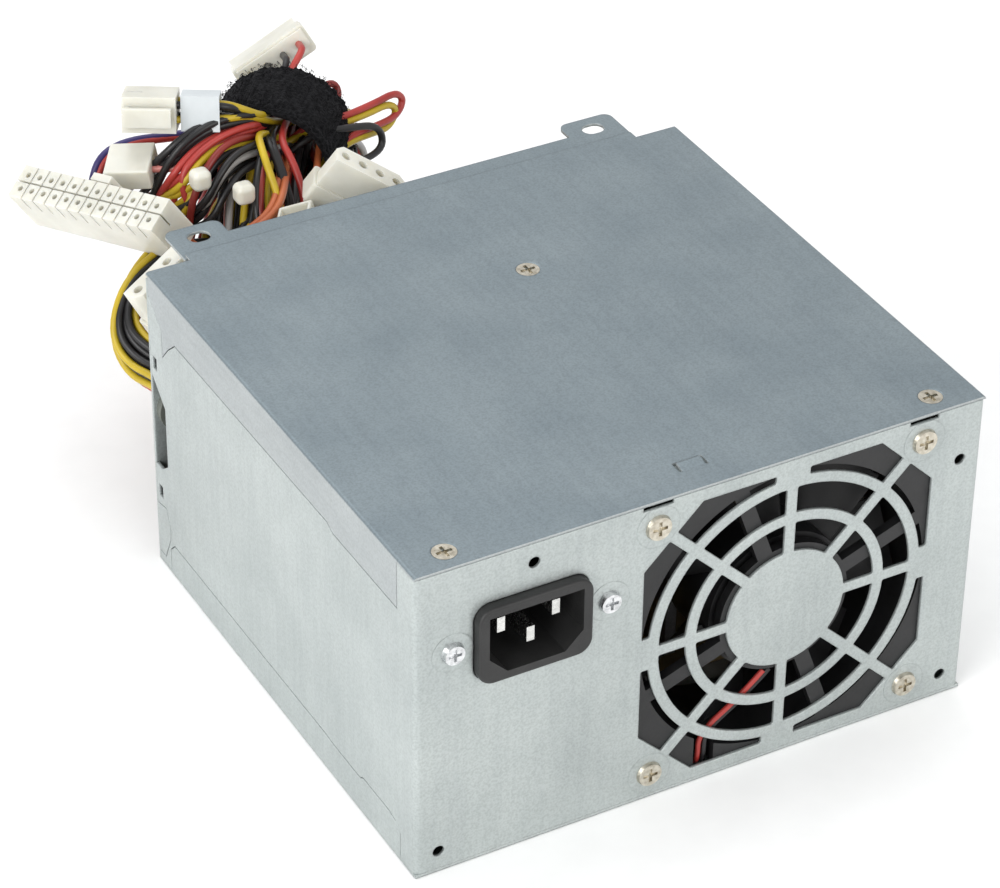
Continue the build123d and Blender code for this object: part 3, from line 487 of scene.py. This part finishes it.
for number, (colour, pin, (sheaf, spread), plug, first, last, stray) in enumerate(plan):
    u, v = place_of[number]
    where, along, across, depth = pin
    hank_u, hank_v = in_bundle((number * HANK_SHUFFLE) % len(plan), len(plan))
    seat = sheaf_count[id(sheaf)] = sheaf_count.get(id(sheaf), -1) + 1
    sheaf_u, sheaf_v = in_bundle(seat, SHEAF_PLACES)
    way_out = [np.array(p, dtype=float) + spread * (sheaf_u * ACROSS + sheaf_v * UP) for p in sheaf]
    # the wire's last bends, in millimetres behind its contact
    if plug == "main_plug" and colour != "orange":
        into_plug = [spot(where, along, across, depth - 10.0) + 9.0 * MAIN_SIDE,
                     spot(where, along, across, depth - 9.0) + 2.0 * MAIN_SIDE]
    elif plug == "cpu_plug":    # its label is a flat sleeve, so the four wires lie closer together in it
        into_plug = [spot(where, 0.8 * along, 0.45 * across, depth - out) for out in (13.5, 7.5, 2.4)]
    elif colour == "orange":
        into_plug = [spot(where, along, across, depth - 6.5)]
    else:
        into_plug = [spot(where, along, across, depth - 8.5)]
    if plug != "cpu_plug" and colour != "orange":
        into_plug.append(spot(where, along, across, depth - 3.0))
    into_plug.append(spot(where, along, across, depth))
    route = np.vstack([loom_points(u, v), hank_points(hank_u, hank_v, first, last, stray), way_out, into_plug])
    wire = wire_object(f"wire_{number + 1:02d}_{colour}", route, colour)
    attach(wire, "case")
    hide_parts("wire_hank", "loom_trunk", LEAD_OF[plug])
    wires.append((wire, route[0], plug))
for wire, start, plug in wires[:DECLARED]:
    length = spline_length(wire)
lengths = [spline_length(wire) for wire, *_ in wires]
print("wire lengths, mm", round(min(lengths) / MM), "to", round(max(lengths) / MM))

# %% [markdown]
# ## The strap
# A hook-and-loop tie is a knitted tape with a pile of tiny nylon loops on its outer face.  At this scale
# the pile shows as knobs and as a ragged outline.  It could be hair, but a mesh keeps the outline in
# every view, so the tape's outer face is raised by smoothed random heights, and loose loops stand on it.

# %% Strap material
pile, pile_shader = new_material("strap_pile", (0.006, 0.006, 0.007), 0.95, Sheen_Weight=0.06,
                                 Sheen_Roughness=0.5, Specular_IOR_Level=0.08)
pile_shader.inputs["Sheen Tint"].default_value = (0.55, 0.55, 0.6, 1)
knobs = noise(pile, 0.0009, detail=6.0)
pile.node_tree.links.new(ramp(pile, knobs, (0.0025, 0.0025, 0.003), (0.012, 0.012, 0.013)),
                         pile_shader.inputs["Base Color"])
bump(pile, pile_shader, knobs, 0.0006)

# %% Strap shape
strap_low, strap_high = (np.array(corner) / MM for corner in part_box("strap"))
STRAP_AT = (strap_low + strap_high) / 2
STRAP_HALF, STRAP_WIDE, STRAP_THICK = 19.3, 25.0, 1.9
ROUND_STEPS, WIDE_STEPS = 620, 120
PILE_TALL, PILE_LEVEL = 1.15, 0.45      # height of the pile, and the part of it that counts as the tape's face
PILE_SPREAD = 0.5                       # how far the pile stands out past the tape's edges
EDGE_ROOM = 0.6                         # the tape's own edge is drawn in by this, to leave room for it


def smooth_random(rows, columns, size):
    """Random heights from 0 to 1 on a grid, smoothed with a bell curve of that many cells.

    They close on themselves both ways.
    """
    white = np.fft.fft2(rng.normal(size=(rows, columns)))
    a, b = np.meshgrid(np.fft.fftfreq(rows), np.fft.fftfreq(columns), indexing="ij")
    soft = np.real(np.fft.ifft2(white * np.exp(-2 * (math.pi * size) ** 2 * (a ** 2 + b ** 2))))
    return np.clip(0.5 + soft / (4 * soft.std()), 0, 1)


def ring_line(angle):
    """The tie's ring: a circle made a little taller than wide, and slightly uneven."""
    return STRAP_HALF * (1 - 0.03 * np.cos(2 * angle) - 0.015 * np.cos(3 * angle + 0.6))


angle = np.linspace(0, 2 * np.pi, ROUND_STEPS, endpoint=False)
skin = np.linspace(0, 2 * np.pi, WIDE_STEPS, endpoint=False)
# the section is a flat oblong with round edges: a superellipse
flat = np.sign(np.cos(skin)) * np.abs(np.cos(skin)) ** 0.35
thick = np.sign(np.sin(skin)) * np.abs(np.sin(skin)) ** 0.5
fine, coarse = (smooth_random(ROUND_STEPS, WIDE_STEPS, cells) for cells in (1.3, 3.0))
heights = 0.55 * fine + 0.45 * coarse
outer_face = np.clip(thick[None, :] + 0.35, 0, 1)
edge_wave = 0.5 * (smooth_random(ROUND_STEPS, WIDE_STEPS, 14.0) - 0.5)
reach = (ring_line(angle)[:, None] - STRAP_THICK / 2 * (1 - thick[None, :])
         + PILE_TALL * (heights - PILE_LEVEL) * outer_face)
width = ((STRAP_WIDE / 2 - EDGE_ROOM) * flat[None, :] * (1 + 0.03 * edge_wave)
         + PILE_SPREAD * (heights - 0.5) * np.sign(flat)[None, :])
strap_points = (STRAP_AT + ACROSS * (reach * np.cos(angle)[:, None])[..., None]
                + UP * (reach * np.sin(angle)[:, None])[..., None] + ALONG * width[..., None])
strap = add_object("strap_tape", grid_mesh("strap_tape", strap_points[:, ::-1] * MM, True, True), pile)

# %% Loose loops of the pile
LOOPS, LOOP_STEPS = 1500, 5
LOOP_HALF, FOOT, FIBRE_R = 0.42, 0.25, 0.085    # half a loop's length, height of its feet, fibre's radius
loop_at = rng.uniform(0, 2 * np.pi, LOOPS)
loop_across = rng.uniform(-0.5, 0.5, LOOPS) * STRAP_WIDE
lean = rng.uniform(0, 2 * np.pi, LOOPS)
tall = rng.uniform(0.35, 0.9, LOOPS)
step = np.linspace(0, np.pi, LOOP_STEPS + 1)
base = ring_line(loop_at) + FOOT
ring_out = ACROSS * np.cos(loop_at)[:, None] + UP * np.sin(loop_at)[:, None]
ring_on = -ACROSS * np.sin(loop_at)[:, None] + UP * np.cos(loop_at)[:, None]
sideways = ring_on * np.cos(lean)[:, None] + ALONG * np.sin(lean)[:, None]
middle = (STRAP_AT + ring_out * base[:, None] + ALONG * loop_across[:, None])[:, None, :]
line = (middle + sideways[:, None, :] * (LOOP_HALF * np.cos(step))[None, :, None]
        + ring_out[:, None, :] * (tall[:, None] * np.sin(step)[None, :])[..., None])
turned = np.cross(ring_out, sideways)
section = np.array([0, 2 * np.pi / 3, 4 * np.pi / 3])
around = (turned[:, None, None, :] * np.cos(section)[None, None, :, None]
          + ring_out[:, None, None, :] * np.sin(section)[None, None, :, None]) * FIBRE_R
tubes = line[:, :, None, :] + around
sides = len(section)
one = np.arange((LOOP_STEPS + 1) * sides).reshape(LOOP_STEPS + 1, sides)
quad = np.stack([one[:-1], one[1:], np.roll(one[1:], -1, axis=1), np.roll(one[:-1], -1, axis=1)], axis=-1)
ends = np.stack([one[0][::-1], one[-1]])
offsets = np.arange(LOOPS)[:, None] * one.size
faces = (quad.reshape(-1, 4)[None] + offsets[..., None]).reshape(-1, 4).tolist()
faces += (ends[None] + offsets[..., None]).reshape(-1, 3).tolist()
loops_mesh = bpy.data.meshes.new("strap_loops")
loops_mesh.from_pydata((tubes * MM).reshape(-1, 3).tolist(), [], faces)
loops_mesh.update()
strap_loops = add_object("strap_loops", loops_mesh, pile)
for piece in (strap, strap_loops):
    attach(piece, "case")
    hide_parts("strap")

# %% [markdown]
# ## Fan lead
# The fan's two thin wires cross the motor's arm in view of the grille and go down to the board.  They are
# held all the way, so they are not free cords; the frame's one solid becomes a red and a black spline.

# %% Fan lead
FAN_LEAD = np.array([(19.5, -67.9, 24.6), (13.5, -67.9, 19), (2.3, -67.9, 12), (2.3, -67.9, 5.5), (2.3, -67.0, 2.3),
                     (2.3, -63, 1.8), (2.3, -54, 1.85), (2.3, -45, 2.0), (2.3, -42, 6.5), (2.3, -39.4, 11.6),
                     (2.3, -36, 11.6)])
FAN_WIRE_R, FAN_WIRE_SIDE = 0.68, 0.8
for side, colour in ((-FAN_WIRE_SIDE, "red"), (FAN_WIRE_SIDE, "black")):
    fan_wire = wire_object(f"fan_wire_{colour}", FAN_LEAD + np.array((side, 0, 0)), colour, radius=FAN_WIRE_R)
    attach(fan_wire, "case")
    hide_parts("fan_lead")

# %% [markdown]
# ## Finishes of the rigid parts
# The case is zinc-plated sheet: at arm's length it is a soft grey with fine grain, cloudy patches and
# rolling marks along one axis.  Such a plate could be a picture; three layers of noise of the right sizes
# give the same look on every face, with no seams, except that on the top cover the flat top is painted
# darker, as shade, and the faces that stand on end lighter, as painted light.

# %% Galvanised sheet
GRAIN, CLOUDS, MARKS = 0.00055, 0.022, 0.0016       # sizes of the three layers
EDGE_R = 0.0006


def galvanised(name, dark, light, rolled, metallic=0.55, roughness=0.46, side_painted_light=None):
    """Zinc plate: millimetre grain, cloudy patches, faint rolling marks, and roughness that follows them.

    With the last argument, faces that stand on end take that lighter colour pair: painted light, chosen by the
    face's direction and not a colour of the sheet.
    """
    material, shader = new_material(name, light, roughness, metallic)
    grain = noise(material, GRAIN, detail=5.0)
    clouds = noise(material, CLOUDS, detail=5.0)
    marks = noise(material, MARKS, detail=3.0, stretch=rolled)
    tone = ramp(material, clouds, dark, light, 0.30, 0.70)
    if side_painted_light:
        # painted light: faces that stand on end are made lighter than flat ones, by their direction alone
        facing = material.node_tree.nodes.new("ShaderNodeNewGeometry")
        parts = material.node_tree.nodes.new("ShaderNodeSeparateXYZ")
        material.node_tree.links.new(facing.outputs["True Normal"], parts.inputs[0])
        painted_light_mask = ramp(material, parts.outputs["Z"], (1.0, 1.0, 1.0), (0.0, 0.0, 0.0), 0.30, 0.60)
        tone = mix(material, painted_light_mask, tone, ramp(material, clouds, *side_painted_light, 0.30, 0.70))
    speck = ramp(material, grain, (0.82, 0.82, 0.82), (1.0, 1.0, 1.0), 0.34, 0.60)
    streak = ramp(material, marks, (0.955, 0.955, 0.96), (1.0, 1.0, 1.0), 0.38, 0.60)
    colour = mix(material, 1.0, mix(material, 1.0, tone, speck, "MULTIPLY"), streak, "MULTIPLY")
    material.node_tree.links.new(colour, shader.inputs["Base Color"])
    rough_between(material, shader, grain, roughness - 0.16, roughness + 0.14)
    bump(material, shader, grain, 0.00003)
    # a bent or sheared edge is never knife sharp: the shading is rounded there
    edges = material.node_tree.nodes.new("ShaderNodeBevel")
    edges.samples = 6
    edges.inputs["Radius"].default_value = EDGE_R
    raised = next(node for node in material.node_tree.nodes if node.type == "BUMP")
    material.node_tree.links.new(edges.outputs["Normal"], raised.inputs["Normal"])
    return material


def plated(name, dark, light, roughness):
    """Plated screw: bright metal with a little dulling in random cloudy patches."""
    material, shader = new_material(name, light, roughness, 1.0)
    clouds = noise(material, 0.0012, detail=4.0)
    material.node_tree.links.new(ramp(material, clouds, dark, light), shader.inputs["Base Color"])
    rough_between(material, shader, clouds, roughness - 0.1, roughness + 0.14)
    bump(material, shader, noise(material, 0.0004), 0.00002)
    return material


def nylon_plastic(name, dark, light):
    """Unfilled nylon: milky and waxy, light goes a few millimetres into it."""
    material = plain_plastic(name, dark, light, 0.38, grain=0.0012, depth=0.00002, Subsurface_Weight=0.55,
                             Subsurface_Scale=0.004, Specular_IOR_Level=0.5)
    shader = material.node_tree.nodes["Principled BSDF"]
    shader.inputs["Subsurface Radius"].default_value = (1.0, 0.9, 0.75)
    return material


FINISHES = [
    # painted shade: the cover's flat top takes a tone much darker than the wrap's, and its faces that stand on end
    # take the lighter pair as painted light
    (galvanised("zinc_cover_painted_shade_and_light", (0.205, 0.250, 0.275), (0.245, 0.292, 0.315), (1.0, 0.05, 1.0),
                side_painted_light=((0.390, 0.420, 0.425), (0.450, 0.482, 0.485))), ["top_cover"]),
    (galvanised("zinc_wrap", (0.430, 0.470, 0.463), (0.500, 0.542, 0.532), (1.0, 1.0, 0.05)),
     ["chassis_wrap", "base_and_rear", "cover_post"]),
    (plated("nickel", (0.46, 0.42, 0.34), (0.66, 0.62, 0.53), 0.30),
     ["fan_screws", "cover_screws", "board_screws"]),
    (plated("zinc_bright", (0.55, 0.56, 0.57), (0.80, 0.81, 0.82), 0.26), ["inlet_screws"]),
    (plated("contact_steel", (0.58, 0.58, 0.56), (0.78, 0.78, 0.76), 0.25), ["inlet_pins"]),
    (plated("shaft_steel", (0.45, 0.45, 0.46), (0.62, 0.62, 0.63), 0.30), ["fan_shaft"]),
    (plated("bearing_bronze", (0.40, 0.27, 0.12), (0.55, 0.38, 0.18), 0.40), ["fan_bearing"]),
    (plated("winding_copper", (0.42, 0.17, 0.07), (0.62, 0.27, 0.11), 0.34),
     ["fan_stator", "output_choke", "line_filter"]),
    (plain_plastic("inlet_black", (0.010, 0.010, 0.010), (0.018, 0.018, 0.018), 0.50, depth=0.00004),
     ["inlet_housing"]),
    (plain_plastic("fan_black", (0.006, 0.006, 0.0065), (0.011, 0.011, 0.012), 0.46),
     ["fan_frame", "fan_rotor"]),
    (plain_plastic("magnet_ferrite", (0.03, 0.03, 0.03), (0.05, 0.05, 0.05), 0.7, grain=0.0004),
     ["fan_magnet"]),
    (plain_plastic("board_laminate", (0.16, 0.115, 0.045), (0.22, 0.16, 0.07), 0.5, grain=0.002),
     ["circuit_board"]),
    (plain_plastic("insulating_film", (0.50, 0.50, 0.46), (0.60, 0.60, 0.56), 0.35),
     ["insulating_sheet"]),
    (galvanised("heatsink_aluminium", (0.42, 0.42, 0.42), (0.55, 0.55, 0.55), (1.0, 0.05, 1.0), 0.9, 0.38),
     ["heatsink_primary", "heatsink_secondary"]),
    (plain_plastic("chip_epoxy", (0.012, 0.012, 0.012), (0.03, 0.03, 0.03), 0.6, grain=0.0004),
     ["power_transistors", "bridge_rectifier"]),
    (plain_plastic("capacitor_sleeve", (0.015, 0.018, 0.03), (0.03, 0.035, 0.05), 0.30),
     ["bulk_capacitors", "output_capacitors"]),
    (plain_plastic("transformer_tape", (0.42, 0.30, 0.03), (0.55, 0.40, 0.05), 0.40, grain=0.003),
     ["main_transformer", "standby_transformer"]),
    (plain_plastic("film_box", (0.30, 0.20, 0.03), (0.42, 0.28, 0.05), 0.35), ["film_capacitor"]),
    (plain_plastic("fuse_glass", (0.42, 0.44, 0.45), (0.55, 0.57, 0.58), 0.12), ["fuse"]),
    (plain_plastic("bush_rubber", (0.105, 0.115, 0.10), (0.15, 0.16, 0.14), 0.6), ["wire_bush"]),
    (plain_plastic("lead_brown", (0.05, 0.02, 0.012), (0.08, 0.035, 0.02), 0.4), ["live_lead"]),
    (plain_plastic("lead_blue", (0.012, 0.04, 0.16), (0.02, 0.06, 0.22), 0.4), ["neutral_lead"]),
    (plain_plastic("lead_green", (0.02, 0.12, 0.03), (0.05, 0.20, 0.05), 0.4), ["ground_lead"]),
    (nylon_plastic("nylon_natural", (0.60, 0.59, 0.52), (0.70, 0.69, 0.62)),
     ["main_plug", "main_latch", "main_latch_rib", "cpu_plug", "cpu_latch", "cpu_latch_rib", "drive_plug_right",
      "drive_plug_left", "drive_plug_top", "floppy_plug", "small_plug", "fan_plug", "cable_ties"]),
    (plain_plastic("tag_vinyl", (0.56, 0.60, 0.62), (0.64, 0.68, 0.70), 0.32), ["cpu_label"]),
]
finished = set()
for material, names in FINISHES:
    for name in names:
        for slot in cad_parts[name].material_slots:
            slot.material = material
        finished.add(name)
print("finished nodes", len(finished), "still plain:", sorted(set(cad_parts) - finished))

# %% Finish
size = {"cad": [list(cad_low), list(cad_high)]}
low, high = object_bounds()
size["visual"] = [list(low), list(high)]
